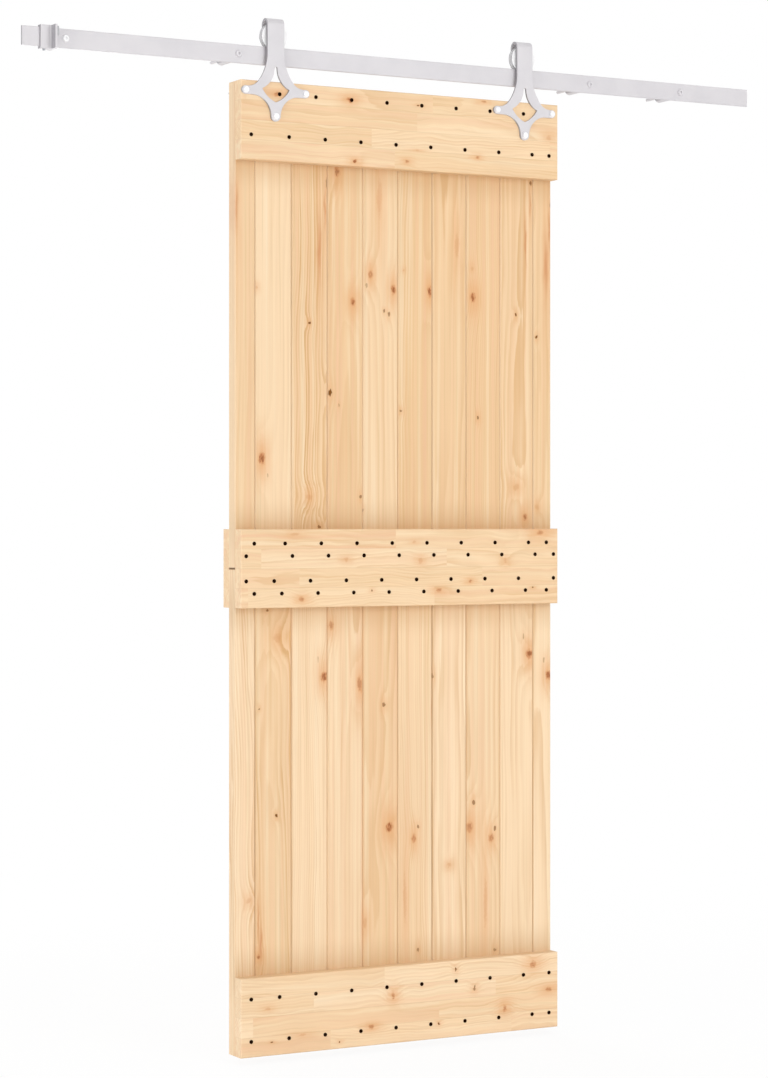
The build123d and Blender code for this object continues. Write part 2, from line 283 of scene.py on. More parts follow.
# a pair of scales is across and along the board, a shift is how far boards lie apart in the noise
grainShape = dict(
    ringGap=0.0048,
    ringSpread=0.0045,
    eddyScales=(14, 4.5),
    eddyShift=60,
    noiseShift=80,
    pithSpread=0.15,
    pithSway=0.05,
    pithSwayScale=1.2,
    pithSwayShift=40,
    pithLean=0.04,
    pithDepth=0.012,
    pithDepthSpread=0.08,
    waveScales=(20, 1.6),
    rippleScales=(150, 5.0),
    rippleHeight=0.003,
    lateRise=(0.1, 0.85),
    lateFall=(1.0, 0.88),
    weightLeast=0.2,
    weightSpread=0.8,
    weightShift=90,
    patchScales=(0.4, 2.6),
    patchShift=50,
    patchRange=(0.3, 0.65, 0.25, 1.0),
    wideScales=(70, 0.7),
    narrowScales=(210, 1.5),
    streakScales=(120, 1.3),
    fibreScales=(900, 14.0),
    cloudScales=(8, 2.4),
    paleRange=(0.5, 0.28),
    roseRange=(0.4, 0.7),
    oliveRange=(0.48, 0.8),
    streakShade=0.08,
    fibreShade=0.05,
    cloudShade=0.1,
    haloLeast=0.25,
    haloStreak=0.8,
    coreShare=0.8,
    heartShare=0.8,
    lateHeight=0.8,
    fibreHeight=0.8,
    hollow=-0.15,
    roughness=0.55,
    fibreRoughness=0.16,
    lateRoughness=-0.1,
)


def makeGrainGroup():
    shape = grainShape
    keys = ("along", "across", "depth", "tone", "blush", "rings", "swirl", "figure", "churn")
    inputs = dict.fromkeys(keys + ("lift", "core", "heart", "halo", "dark"), floatKind)
    inputs["seed"] = "NodeSocketVector"
    outputs = dict(colour="NodeSocketColor", height=floatKind, roughness=floatKind)
    group, start, end = newGroup("pineGrain", inputs, outputs)
    one, two, three = split(group, start["seed"])
    along, depth = start["along"], start["depth"]

    def shifted(value, scale, seed, shift):  # each board reads its own stretch of the noise
        return calc(group, "MULTIPLY_ADD", value, scale, spread(group, seed, shift))

    eddyAcross, eddyAlong = shape["eddyScales"]
    eddyPlace = joined(
        group,
        shifted(start["across"], eddyAcross, two, shape["eddyShift"]),
        times(group, depth, eddyAcross),
        shifted(along, eddyAlong, three, shape["eddyShift"]),
    )
    across = addUp(group, start["across"], spread(group, noise(group, eddyPlace), start["churn"]))

    def drawn(scales, seed, detail=3.0, rough=0.5):  # noise drawn out along the grain
        place = joined(
            group,
            times(group, across, scales[0]),
            times(group, depth, scales[0]),
            shifted(along, scales[1], seed, shape["noiseShift"]),
        )
        return noise(group, place, detail=detail, roughness=rough)

    # growth rings round a pith line that leans and sways along the board
    swayPlace = joined(
        group,
        times(group, along, shape["pithSwayScale"]),
        spread(group, one, shape["pithSwayShift"]),
        spread(group, two, shape["pithSwayShift"]),
    )
    sway = spread(group, noise(group, swayPlace), shape["pithSway"])
    pithAcross = addUp(group, spread(group, one, shape["pithSpread"]), sway)
    lean = times(group, along, spread(group, three, shape["pithLean"]))
    pithDepth = calc(group, "MULTIPLY_ADD", two, shape["pithDepthSpread"], shape["pithDepth"])
    a = minus(group, across, pithAcross)
    d = addUp(group, depth, addUp(group, pithDepth, lean))
    ringRadius = addUp(
        group,
        calc(group, "SQRT", addUp(group, times(group, a, a), times(group, d, d))),
        spread(group, drawn(shape["waveScales"], three), start["swirl"]),
        spread(group, drawn(shape["rippleScales"], two, detail=2.0), shape["rippleHeight"]),
        start["lift"],
    )
    ringGap = calc(group, "MULTIPLY_ADD", two, shape["ringSpread"], shape["ringGap"])
    phase = calc(group, "DIVIDE", ringRadius, ringGap)
    ring = calc(group, "FRACT", phase)
    late = times(group, eased(group, ring, *shape["lateRise"]), eased(group, ring, *shape["lateFall"]))
    ringPlace = joined(group, calc(group, "FLOOR", phase), spread(group, one, shape["weightShift"]))
    ringChance = chance(group, ringPlace)["Value"]
    weight = calc(group, "MULTIPLY_ADD", ringChance, shape["weightSpread"], shape["weightLeast"])
    patchAcross, patchAlong = shape["patchScales"]
    patchPlace = joined(
        group,
        times(group, phase, patchAcross),
        spread(group, one, shape["patchShift"]),
        times(group, along, patchAlong),
    )
    patch = eased(group, noise(group, patchPlace), *shape["patchRange"])
    lateShare = times(group, late, weight, patch, start["rings"])

    # streaks of paler, pinker and greener wood, fine fibres and broad clouds
    wide = drawn(shape["wideScales"], one)
    narrow = drawn(shape["narrowScales"], two, detail=2.0)
    streak = drawn(shape["streakScales"], three, rough=0.6)
    fibre = drawn(shape["fibreScales"], one)
    cloud = drawn(shape["cloudScales"], two, detail=2.0)
    paleShare = times(group, eased(group, wide, *shape["paleRange"]), start["figure"])
    roseShare = times(group, eased(group, wide, *shape["roseRange"]), start["blush"])
    oliveShare = times(group, eased(group, narrow, *shape["oliveRange"]), start["figure"])
    colour = blendColour(group, start["tone"], pine["cream"], pine["tan"])
    colour = blendColour(group, paleShare, colour, pine["pale"])
    colour = blendColour(group, roseShare, colour, pine["rose"])
    colour = blendColour(group, oliveShare, colour, pine["olive"])
    colour = blendColour(group, lateShare, colour, pine["lateWood"])
    value = addUp(
        group,
        1.0,
        spread(group, streak, shape["streakShade"]),
        spread(group, fibre, shape["fibreShade"]),
        spread(group, cloud, shape["cloudShade"]),
    )
    colour = shaded(group, colour, value)
    streaky = calc(group, "MULTIPLY_ADD", streak, shape["haloStreak"], shape["haloLeast"])
    colour = blendColour(group, times(group, start["halo"], streaky), colour, pine["halo"])
    colour = blendColour(group, times(group, start["core"], shape["coreShare"]), colour, pine["knot"])
    colour = blendColour(group, times(group, start["heart"], shape["heartShare"]), colour, pine["heart"])
    colour = blendColour(group, start["dark"], colour, pine["darkKnotAndShade"])
    height = addUp(
        group,
        times(group, lateShare, shape["lateHeight"]),
        times(group, fibre, shape["fibreHeight"]),
        times(group, start["dark"], shape["hollow"]),
    )
    roughness = addUp(
        group,
        shape["roughness"],
        times(group, fibre, shape["fibreRoughness"]),
        times(group, lateShare, shape["lateRoughness"]),
    )
    plug(group, end["colour"], colour)
    plug(group, end["height"], height)
    plug(group, end["roughness"], roughness)
    return group


knotGroup = makeKnotGroup()
grainGroup = makeGrainGroup()

# how much each kind of knot lifts the rings round it, and how much of each colour it has
knotKinds = dict(
    red=dict(grow=1.25, lift=1.0, core=1.0, heart=1.0, halo=1.0),
    pale=dict(grow=1.25, lift=1.0, core=0.7, heart=0.4, halo=0.9),
    dark=dict(grow=0.88, lift=1.0, dark=1.0, halo=0.6),
    brown=dict(grow=0.88, lift=1.0, dark=0.7, halo=0.6),
    fleck=dict(grow=0.88, lift=0.6, dark=0.4, halo=0.4),
    faint=dict(grow=1.0, lift=0.4, core=0.35, halo=0.6),
    swirl=dict(grow=1.0, lift=1.0, core=0.35, halo=0.6),
    streak=dict(grow=1.2, lift=0.3, soft=0.8, halo=0.4),
)


def listKnots(kinds):
    return [(kind, *place) for kind, places in kinds.items() for place in places]


def addKnots(tree, spec, along, side, place):
    found = dict(lift=0.0, core=0.0, heart=0.0, halo=0.0, dark=0.0)
    if not spec["knots"]:
        return found
    wobble = noise(tree, place, scale=knotShape["wobbleScale"])
    sway = noise(tree, scaled(tree, (side, along), knotShape["swayScales"]))
    mottle = noise(tree, scaled(tree, (side, along), knotShape["mottleScales"]), detail=3.0)
    knotAlong = addUp(tree, along, spread(tree, wobble, knotShape["wobble"]))
    knotSide = addUp(tree, side, spread(tree, sway, knotShape["sway"]))
    for kind, knotX, knotZ, halfX, halfZ in spec["knots"]:
        shares = dict(knotKinds[kind])
        grow = shares.pop("grow") * mm
        knot = useGroup(
            tree,
            knotGroup,
            along=knotAlong,
            across=knotSide,
            mottle=mottle,
            knotAlong=(knotZ if spec["upright"] else knotX) * mm,
            knotAcross=(knotX if spec["upright"] else knotZ) * mm,
            halfLength=(halfZ if spec["upright"] else halfX) * grow,
            halfWidth=(halfX if spec["upright"] else halfZ) * grow,
        )
        found["lift"] = calc(tree, "MULTIPLY_ADD", knot["lift"], shares.pop("lift"), found["lift"])
        for key, share in shares.items():
            target = "core" if key == "soft" else key  # a streak is a knot's colour with no edge
            found[target] = calc(tree, "MAXIMUM", times(tree, knot[key], share), found[target])
    return found


# what the grain takes from a board's own dictionary, with its knots
def grainValues(tree, spec, along, side, place):
    given = {key: spec[key] for key in ("rings", "swirl", "figure", "churn")}
    return dict(given, **addKnots(tree, spec, along, side, place))


def dressWood(tree, shader, colour, grain, paleShare):
    # painted light: faces that look along x are made paler, on the plank sides and the ledge ends
    paintedLightSide = times(tree, facingAlong(tree, 0), paleShare)
    plug(tree, shader.inputs["Base Color"], blendColour(tree, paintedLightSide, colour, pine["pale"]))
    plug(tree, shader.inputs["Roughness"], grain["roughness"])
    roughen(tree, shader, grain["height"], pine["bump"], pine["bumpDepth"])


# one board: dark in the joint to its neighbours, with painted shade along the ledges that cross it and in
# the gap between the rows
def makePlank(name, spec):
    material, tree, shader = newMaterial(name, **{"Specular IOR Level": pine["gloss"]})
    place = objectPlace(tree)
    x, y, z = split(tree, place)
    grain = useGroup(
        tree,
        grainGroup,
        along=z,
        across=minus(tree, x, spec["middle"]),
        depth=minus(tree, y, spec["front"]),
        seed=spec["seed"],
        tone=spec["tone"],
        blush=spec["blush"],
        **grainValues(tree, spec, z, x, place),
    )
    wearAcross, wearAlong = spec["wearScales"]
    wearPlace = joined(tree, times(tree, x, wearAcross), 0.0, times(tree, z, wearAlong))
    worn = eased(tree, noise(tree, wearPlace), *spec["wearRange"])
    # painted shade on the plank beside each ledge edge, darkest at the edge and fading over the reach
    inFront = calc(tree, "LESS_THAN", y, spec["front"] + spec["frontDepth"])
    frontShadeShare = times(tree, inFront, spec["ledgeShadeShare"])
    edges = [(x, seam, spec["seamReach"], times(tree, worn, share)) for seam, share in spec["seams"]]
    edges += [(z, edge, spec["ledgeShadeReach"], frontShadeShare) for edge in spec["frontEdges"]]
    edges += [(z, edge, spec["ledgeShadeReach"], spec["ledgeShadeShare"]) for edge in spec["middleEdges"]]
    soilAndShade = 0.0
    for edge in edges:
        soilAndShade = calc(tree, "MAXIMUM", closeTo(tree, *edge), soilAndShade)
    colour = blendColour(tree, soilAndShade, grain["colour"], pine["grimeAndShade"])
    # painted shade in the gap between the upper and lower rows of planks
    gapShade = closeTo(tree, z, spec["rowGap"], spec["gapShadeReach"], 1.0)
    colour = blendColour(tree, gapShade, colour, pine["darkKnotAndShade"])
    dressWood(tree, shader, colour, grain, spec["paintedLightSide"])
    return material


# strips glued side by side, each cut into blocks with their own tone and grain
def makeLedge(name, spec):
    material, tree, shader = newMaterial(name, **{"Specular IOR Level": pine["gloss"]})
    place = objectPlace(tree)
    x, y, z = split(tree, place)
    strips = calc(tree, "DIVIDE", minus(tree, z, spec["stripStart"]), spec["stripWidth"])
    strip = calc(tree, "FLOOR", strips)
    offset = minus(tree, calc(tree, "FRACT", strips), 0.5)
    shift = chance(tree, joined(tree, strip, spec["seed"]))["Value"]
    block = calc(tree, "FLOOR", addUp(tree, calc(tree, "DIVIDE", x, spec["blockLength"]), shift))
    seed = chance(tree, joined(tree, strip, block, spec["seed"]))["Color"]
    seedParts = split(tree, seed)
    grain = useGroup(
        tree,
        grainGroup,
        along=times(tree, x, spec["stretch"]),
        across=times(tree, offset, spec["stripWidth"]),
        depth=minus(tree, y, spec["front"]),
        seed=seed,
        tone=calc(tree, "MULTIPLY_ADD", seedParts[0], spec["toneSpread"], spec["tone"]),
        blush=times(tree, seedParts[1], spec["blush"]),
        **grainValues(tree, spec, x, z, place),
    )
    fromEdge = times(tree, minus(tree, 0.5, calc(tree, "ABSOLUTE", offset)), spec["stripWidth"])
    line = eased(tree, fromEdge, spec["glueLine"], 0.0, 0.0, spec["glueShare"])
    colour = blendColour(tree, line, grain["colour"], pine["grimeAndShade"])
    dressWood(tree, shader, colour, grain, spec["paintedLightEnd"])
    return material


def finish(material, names):
    for name in names:
        nodes[name].data.materials.clear()
        nodes[name].data.materials.append(material)


# knots of each kind as x, z, half width and half height in millimetres
plankKnots = dict(
    red=[
        (-122, -236, 6, 10), (19, -489, 6, 10), (112, -490, 5, 11), (223, -499, 7, 10),
        (-82, -520, 6, 9), (-306, -867, 7, 12), (360, -993, 5, 7), (372, -1305, 8, 10),
        (-155, -1343, 7, 10), (424, -1355, 8, 10), (8, -1681, 8, 11), (-313, -1945, 5, 6),
        (-370, -270, 6, 10),
    ],
    pale=[
        (-38, -458, 6, 8), (-137, -1232, 6, 8), (-66, -1363, 6, 15), (215, -1692, 8, 11),
        (71, -1709, 5, 9), (271, -1719, 6, 9),
    ],
    dark=[
        (376, -233, 3, 9), (336, -534, 4, 5), (-190, -569, 4, 4), (391, -583, 4, 5), (-140, -721, 6, 10),
        (-166, -1015, 6, 5), (-293, -1196, 5, 4), (-271, -1642, 4, 4),
    ],
    brown=[
        (-149, -262, 2, 18), (-4, -537, 3, 4), (7, -543, 4, 7), (38, -758, 4, 4), (237, -770, 4, 6),
        (-63, -949, 4, 6), (120, -1349, 3, 7), (-313, -1408, 3, 3), (-5, -1409, 5, 7),
        (225, -1637, 5, 7), (82, -1685, 4, 6), (281, -1698, 4, 6), (82, -1959, 4, 6), (281, -1973, 4, 6),
        (429, -280, 3, 10),
    ],
    fleck=[
        (-49, -482, 4, 6), (-117, -747, 2, 4), (-292, -904, 2, 6), (-57, -977, 3, 4), (357, -1266, 2, 9),
        (-169, -1304, 2, 8), (411, -1320, 2, 8),
    ],
    faint=[
        (221, -433, 4, 6), (44, -445, 3, 3), (-318, -497, 4, 4), (161, -1774, 6, 4), (-16, -285, 7, 48),
        (182, -385, 6, 30), (48, -1840, 5, 60), (256, -1862, 5, 60),
    ],
    swirl=[
        (338, -925, 9, 8), (392, -972, 6, 6), (-192, -950, 9, 7), (-269, -1256, 11, 11),
        (-337, -1822, 6, 6), (-52, -1890, 5, 14),
    ],
    streak=[
        (117, -1421, 2, 16), (-314, -1868, 2, 40), (374, -282, 2, 26), (362, -368, 2, 45),
        (426, -335, 3, 35), (-368, -325, 4, 42), (-152, -322, 2, 34), (-308, -1918, 3, 28),
        (-166, -410, 4, 50), (417, -420, 5, 50),
    ],
)
ledgeKnots = dict(
    top_ledge=dict(
        red=[(-106, -81, 6, 5), (-93, -214, 4, 4)],
        pale=[(233, -61, 5, 3), (-285, -81, 7, 4), (217, -186, 4, 3), (36, -207, 4, 3)],
        dark=[(66, -80, 4, 2)],
        faint=[(406, -131, 7, 6), (61, -181, 8, 2)],
    ),
    middle_front_ledge=dict(
        pale=[(382, -1030, 9, 5), (199, -1137, 4, 3), (118, -1157, 6, 4), (-224, -1172, 5, 5)],
        dark=[(363, -1153, 3, 2), (-52, -1155, 3, 3)],
        faint=[
            (-242, -1031, 10, 4), (57, -1049, 5, 3), (-116, -1088, 5, 5), (71, -1090, 5, 7),
            (291, -1092, 4, 7),
        ],
    ),
    middle_back_ledge=dict(
        pale=[(-180, -1050, 6, 4), (330, -1160, 5, 4)],
        dark=[(40, -1130, 4, 4)],
        faint=[(260, -1075, 8, 5)],
    ),
    bottom_ledge=dict(
        pale=[
            (364, -2008, 7, 8), (3, -2050, 4, 8), (405, -2068, 7, 5), (289, -2102, 5, 8),
            (-52, -2114, 6, 4),
        ],
        brown=[(210, -2049, 4, 7)],
        dark=[(161, -2004, 3, 6), (118, -2121, 3, 4), (-296, -2126, 3, 2), (-131, -2140, 3, 3)],
        faint=[(-305, -2053, 6, 4), (-222, -2117, 10, 3)],
    ),
)

planks = dict(
    upright=True,
    front=plankFront,
    figure=0.42,
    churn=0.005,
    # painted light: how much paler the side faces of each row are
    upperPaintedLightSide=0.36,
    lowerPaintedLightSide=0.1,
    seamReach=0.003,
    seamShares=(0.55, 0.42, 0.3, 0.06, 0.35, 0.85, 0.4, 0.12, 0.45),
    wearScales=(3, 4),
    wearRange=(0.3, 0.7, 0.5, 1.0),
    # painted shade in the gap between the rows: how far it reaches
    gapShadeReach=0.003,
    # painted shade beside the ledges: how far it reaches and how dark it is
    ledgeShadeReach=0.075,
    ledgeShadeShare=0.33,
    frontDepth=0.01,
    upperRings=(0.6, 0.45, 1.3, 0.6, 0.5, 0.6, 0.8, 0.6, 0.9, 1.2),
    upperSwirls=(0.012, 0.01, 0.03, 0.01, 0.014, 0.01, 0.026, 0.01, 0.02, 0.03),
    lowerRings=(1.0, 1.4, 0.45, 0.55, 0.8, 0.5, 0.6, 0.55, 0.45, 0.6),
    lowerSwirls=(0.03, 0.036, 0.01, 0.014, 0.02, 0.012, 0.02, 0.012, 0.012, 0.02),
    upperTones=(0.65, 0.22, 0.7, 0.9, 0.4, 0.95, 0.75, 0.9, 0.6, 0.72),
    upperBlushes=(0.5, 0.1, 0.6, 0.9, 0.2, 0.8, 0.4, 0.8, 0.5, 0.5),
    lowerTones=(0.0, 0.6, 0.12, 0.18, 0.65, 0.35, 0.0, 0.4, 0.1, 0.1),
    lowerBlushes=(0.35, 0.4, 0.2, 0.5, 0.7, 0.4, 0.35, 0.4, 0.1, 0.1),
    seedSteps=(0.618, 0.387, 0.741),
)
ledges = dict(
    upright=False,
    stripWidth=0.0425,
    blockLength=0.46,
    glueLine=0.0008,
    glueShare=0.3,
    tones=dict(top_ledge=0.2, middle_front_ledge=0.2, middle_back_ledge=0.2, bottom_ledge=0.0),
    toneSpread=0.4,
    blush=0.8,
    rings=0.45,
    swirl=0.02,
    figure=0.36,
    churn=0.022,
    stretch=2.0,
    # painted light: how much paler the ledge ends are
    paintedLightEnd=0.15,
    firstSeed=11.0,
)
frontEdges = [topLow.z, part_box("bottom_ledge")[1].z]
middleEdges = [corner.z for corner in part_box("middle_front_ledge")]


def leftToRight(names):
    return sorted(names, key=lambda name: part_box(name)[0].x)


allKnots = listKnots(plankKnots)
wornSeams = list(zip(plankSeams, planks["seamShares"]))
for row, names in (("upper", upperPlanks), ("lower", lowerPlanks)):
    for number, name in enumerate(leftToRight(names)):
        low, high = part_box(name)
        count = number + 1 + (len(upperPlanks) if row == "lower" else 0)
        spec = dict(
            planks,
            middle=(low.x + high.x) / 2,
            seams=wornSeams[max(number - 1, 0) : number + 1],  # to its left and right
            tone=planks[row + "Tones"][number],
            blush=planks[row + "Blushes"][number],
            rings=planks[row + "Rings"][number],
            swirl=planks[row + "Swirls"][number],
            seed=[step * count % 1.0 for step in planks["seedSteps"]],
            knots=[k for k in allKnots if low.x <= k[1] * mm < high.x and low.z <= k[2] * mm < high.z],
            frontEdges=[edge for edge in frontEdges if low.z < edge < high.z],
            middleEdges=[edge for edge in middleEdges if low.z < edge < high.z],
            paintedLightSide=planks[row + "PaintedLightSide"],
            rowGap=low.z if row == "upper" else high.z,
        )
        finish(makePlank("pinePlank" + str(count), spec), [name])
for number, (name, kinds) in enumerate(ledgeKnots.items()):
    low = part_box(name)[0]
    spec = dict(
        ledges,
        tone=ledges["tones"][name],
        knots=listKnots(kinds),
        seed=ledges["firstSeed"] + number,
        front=low.y,
        stripStart=low.z,
    )
    finish(makeLedge("pineLedge" + str(number + 1), spec), [name])
print("pine done")


# Metal, plastic and rubber


def dressHardware(tree, shader, spec, colour, wear, height):
    plug(tree, shader.inputs["Base Color"], colour)
    change = spread(tree, wear, spec["roughnessSpread"])
    plug(tree, shader.inputs["Roughness"], addUp(tree, spec["roughness"], change))
    roughen(tree, shader, height, spec["bump"], spec["bumpDepth"], spec["edge"])


coat = dict(
    gloss=0.45,
    peelScale=900.0,
    cloudScale=18.0,
    cloudRange=(0.35, 0.75, 0.0, 0.6),
    roughnessSpread=0.12,
    bump=0.12,
    bumpDepth=0.0004,
)
powderCoat = dict(
    coat,
    colour=(215, 212, 215),
    dull=(207, 204, 208),
    # painted shade on the faces that look along x
    shadedSide=(166, 163, 168),
    edge=0.0008,
    roughness=0.42,
)
boltWhite = dict(
    coat,
    colour=(250, 250, 252),
    dull=(236, 236, 240),
    shadedSide=(226, 226, 230),
    edge=0.0006,
    roughness=0.3,
)
wallBolt = dict(
    coat,
    colour=(222, 219, 222),
    dull=(214, 211, 215),
    shadedSide=(212, 209, 213),
    edge=0.0006,
    roughness=0.4,
    bare=(252, 252, 253),
    bareBefore=-0.6,
)


def makeCoat(name, spec):
    material, tree, shader = newMaterial(name, **{"Specular IOR Level": spec["gloss"]})
    place = objectPlace(tree)
    peel = noise(tree, place, scale=spec["peelScale"], detail=3.0)
    cloud = noise(tree, place, scale=spec["cloudScale"], detail=3.0)
    dullShare = eased(tree, cloud, *spec["cloudRange"])
    colour = blendColour(tree, dullShare, tint(*spec["colour"]), tint(*spec["dull"]))
    colour = blendColour(tree, facingAlong(tree, 0), colour, tint(*spec["shadedSide"]))  # painted shade on the faces that look along x
    if "bare" in spec:  # the bolt beside the end stop stays bright
        nearStop = calc(tree, "LESS_THAN", split(tree, place)[0], spec["bareBefore"])
        colour = blendColour(tree, nearStop, colour, tint(*spec["bare"]))
    dressHardware(tree, shader, spec, colour, cloud, peel)
    return material


steel = dict(
    lineScales=(300, 4000, 300),
    roughness=0.34,
    roughnessSpread=0.2,
    bump=0.1,
    bumpDepth=0.0002,
    edge=0.0004,
)
plainSteel = dict(steel, colour=(176, 178, 182), dull=(150, 152, 157))
bronze = dict(steel, colour=(176, 138, 84), dull=(150, 112, 62))


def makeSteel(name, spec):
    material, tree, shader = newMaterial(name, Metallic=1.0)
    lines = noise(tree, scaled(tree, split(tree, objectPlace(tree)), spec["lineScales"]))
    colour = blendColour(tree, lines, tint(*spec["colour"]), tint(*spec["dull"]))
    dressHardware(tree, shader, spec, colour, lines, lines)
    return material


nylon = dict(
    colour=(250, 250, 250),
    dull=(242, 242, 243),
    # painted shade on the tread of the white wheel
    shadedTread=(168, 166, 170),
    gloss=0.4,
    lineScales=(40, 2500, 40),
    roughness=0.42,
    roughnessSpread=0.15,
    bump=0.08,
    bumpDepth=0.0003,
    edge=0.0006,
)


def makeNylon(name, spec):
    material, tree, shader = newMaterial(name, **{"Specular IOR Level": spec["gloss"]})
    lines = noise(tree, scaled(tree, split(tree, objectPlace(tree)), spec["lineScales"]))
    face = blendColour(tree, lines, tint(*spec["colour"]), tint(*spec["dull"]))
    colour = blendColour(tree, facingAlong(tree, 1), tint(*spec["shadedTread"]), face)  # painted shade on the tread, white sides
    dressHardware(tree, shader, spec, colour, lines, lines)
    return material


bumperRubber = dict(
    colour=(206, 206, 208),
    dull=(188, 188, 191),
    gloss=0.25,
    gritScale=1400.0,
    smearScale=60.0,
    roughness=0.78,
    roughnessSpread=0.15,
    bump=0.25,
    bumpDepth=0.0003,
    edge=0.001,
)


def makeRubber(name, spec):
    material, tree, shader = newMaterial(name, **{"Specular IOR Level": spec["gloss"]})
    place = objectPlace(tree)
    grit = noise(tree, place, scale=spec["gritScale"], detail=4.0)
    smear = noise(tree, place, scale=spec["smearScale"])
    colour = blendColour(tree, smear, tint(*spec["colour"]), tint(*spec["dull"]))
    dressHardware(tree, shader, spec, colour, smear, grit)
    return material


coatedMetal = makeCoat("powderCoat", powderCoat)
zinc = makeSteel("zincSteel", plainSteel)
finish(coatedMetal, ["rail", "rail_spacers", "end_stop", "hanger_strap_left", "hanger_strap_right"])
finish(makeCoat("boltCoat", boltWhite), ["hanger_bolts"])
finish(makeCoat("wallBoltCoat", wallBolt), ["wall_bolts"])
finish(zinc, ["end_stop_screw", "hanger_nuts", "wheel_axles", "axle_washers"])
finish(makeNylon("wheelNylon", nylon), ["hanger_wheel_left", "hanger_wheel_right"])
finish(makeSteel("bushBronze", bronze), ["wheel_bush_left", "wheel_bush_right"])
finish(makeRubber("bumperRubber", bumperRubber), ["end_stop_bumper"])
print("hardware done")


# Ledge screws

ledgeScrew = dict(
    headRadius=0.0044,
    proud=0.0008,
    sunk=0.001,
    rim=0.0004,
    rimSteps=2,
    topShare=0.99,
    socketRadius=0.002,
    socketDepth=0.0005,
    sides=14,
)
screwRows = dict(
    spacing=0.091,
    topDrop=0.026,
    bottomRise=0.034,
    edgeShifts=(0.0, 0.26),
    middleHeights=(0.054, 0.027, -0.027, -0.054),
    middleShifts=(0.15, 0.35, -0.15, 0.06),
    endShifts=(0.15, -0.25, -0.25, 0.15),
    boltClear=(0.016, 0.0111),
    boltReach=0.072,
    boltDrop=0.022,
)
screwBlack = dict(
    colour=(34, 18, 8),
    worn=(58, 34, 18),
    gloss=0.02,
    wearScale=800.0,
    wearRange=(0.5, 0.8, 0.0, 0.6),
    roughness=0.8,
    roughnessSpread=0.2,
    bump=0.2,
    bumpDepth=0.0002,
    edge=0.0,
)


def makeScrewMaterial(name, spec):
    material, tree, shader = newMaterial(name, **{"Specular IOR Level": spec["gloss"]})
    wear = noise(tree, objectPlace(tree), scale=spec["wearScale"], detail=3.0)
    wornShare = eased(tree, wear, *spec["wearRange"])
    colour = blendColour(tree, wornShare, tint(*spec["colour"]), tint(*spec["worn"]))
    dressHardware(tree, shader, spec, colour, wear, wear)
    return material


def makeScrewHead(spec):
    bm = bmesh.new()
    turn = Matrix.Rotation(math.radians(90), 4, "X")
    bmesh.ops.create_circle(
        bm, cap_ends=True, segments=spec["sides"], radius=spec["headRadius"], matrix=turn
    )
    raised = bmesh.ops.extrude_face_region(bm, geom=bm.faces[:])["geom"]
    topVerts = [item for item in raised if isinstance(item, bmesh.types.BMVert)]
    bmesh.ops.translate(bm, verts=topVerts, vec=(0, -spec["proud"] - spec["sunk"], 0))
    top = [item for item in raised if isinstance(item, bmesh.types.BMFace)]
    bmesh.ops.bevel(
        bm,
        geom=top[0].edges[:],
        offset=spec["rim"],
        affect="EDGES",
        segments=spec["rimSteps"],
        profile=0.5,
        material=-1,
    )
    highest = -spec["sunk"] - spec["proud"] * spec["topShare"]  # the flat top lies past it, the rim doesn't
    top = [face for face in bm.faces if all(vert.co.y < highest for vert in face.verts)]
    flat = spec["headRadius"] - spec["rim"] - spec["socketRadius"]
    bmesh.ops.inset_region(bm, faces=top, thickness=flat, use_even_offset=True)
    bmesh.ops.inset_region(
        bm, faces=top, thickness=spec["rim"] / 2, depth=-spec["socketDepth"], use_even_offset=True
    )
    bmesh.ops.recalc_face_normals(bm, faces=bm.faces[:])
    bmesh.ops.translate(bm, verts=bm.verts[:], vec=(0, spec["sunk"], 0))
    mesh = bpy.data.meshes.new("screwHead")
    bm.to_mesh(mesh)
    bm.free()
    return mesh


boardEdges = [doorLeft] + plankSeams + [doorRight]
hangerBolts = []
for side in ("left", "right"):
    low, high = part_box("hanger_strap_" + side)
    middle = (low.x + high.x) / 2
    for reach in (-screwRows["boltReach"], screwRows["boltReach"]):
        hangerBolts.append((middle + reach, doorTop - screwRows["boltDrop"]))


# one screw to a board, left out where a hanger bolt is in its way
def screwRow(height, shift, endShift):
    clearX, clearZ = screwRows["boltClear"]
    row = []
    last = len(boardEdges) - 2
    for i, (left, right) in enumerate(zip(boardEdges, boardEdges[1:])):
        share = endShift if i == 0 else -endShift if i == last else shift
        middle = (left + right) / 2 + share * (right - left)
        if all(abs(middle - x) > clearX or abs(height - z) > clearZ for x, z in hangerBolts):
            row.append((middle, height))
    return row


def addScrews(name, places, head, material):
    bm = bmesh.new()
    for x, z in places:
        known = len(bm.verts)
        bm.from_mesh(head)
        bm.verts.ensure_lookup_table()
        bmesh.ops.translate(bm, verts=bm.verts[known:], vec=(x, ledgeFront, z))
    mesh = bpy.data.meshes.new(name)
    bm.to_mesh(mesh)
    bm.free()
    mesh.materials.append(material)
    piece = bpy.data.objects.new(name, mesh)
    bpy.context.scene.collection.objects.link(piece)
    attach(piece, "door")


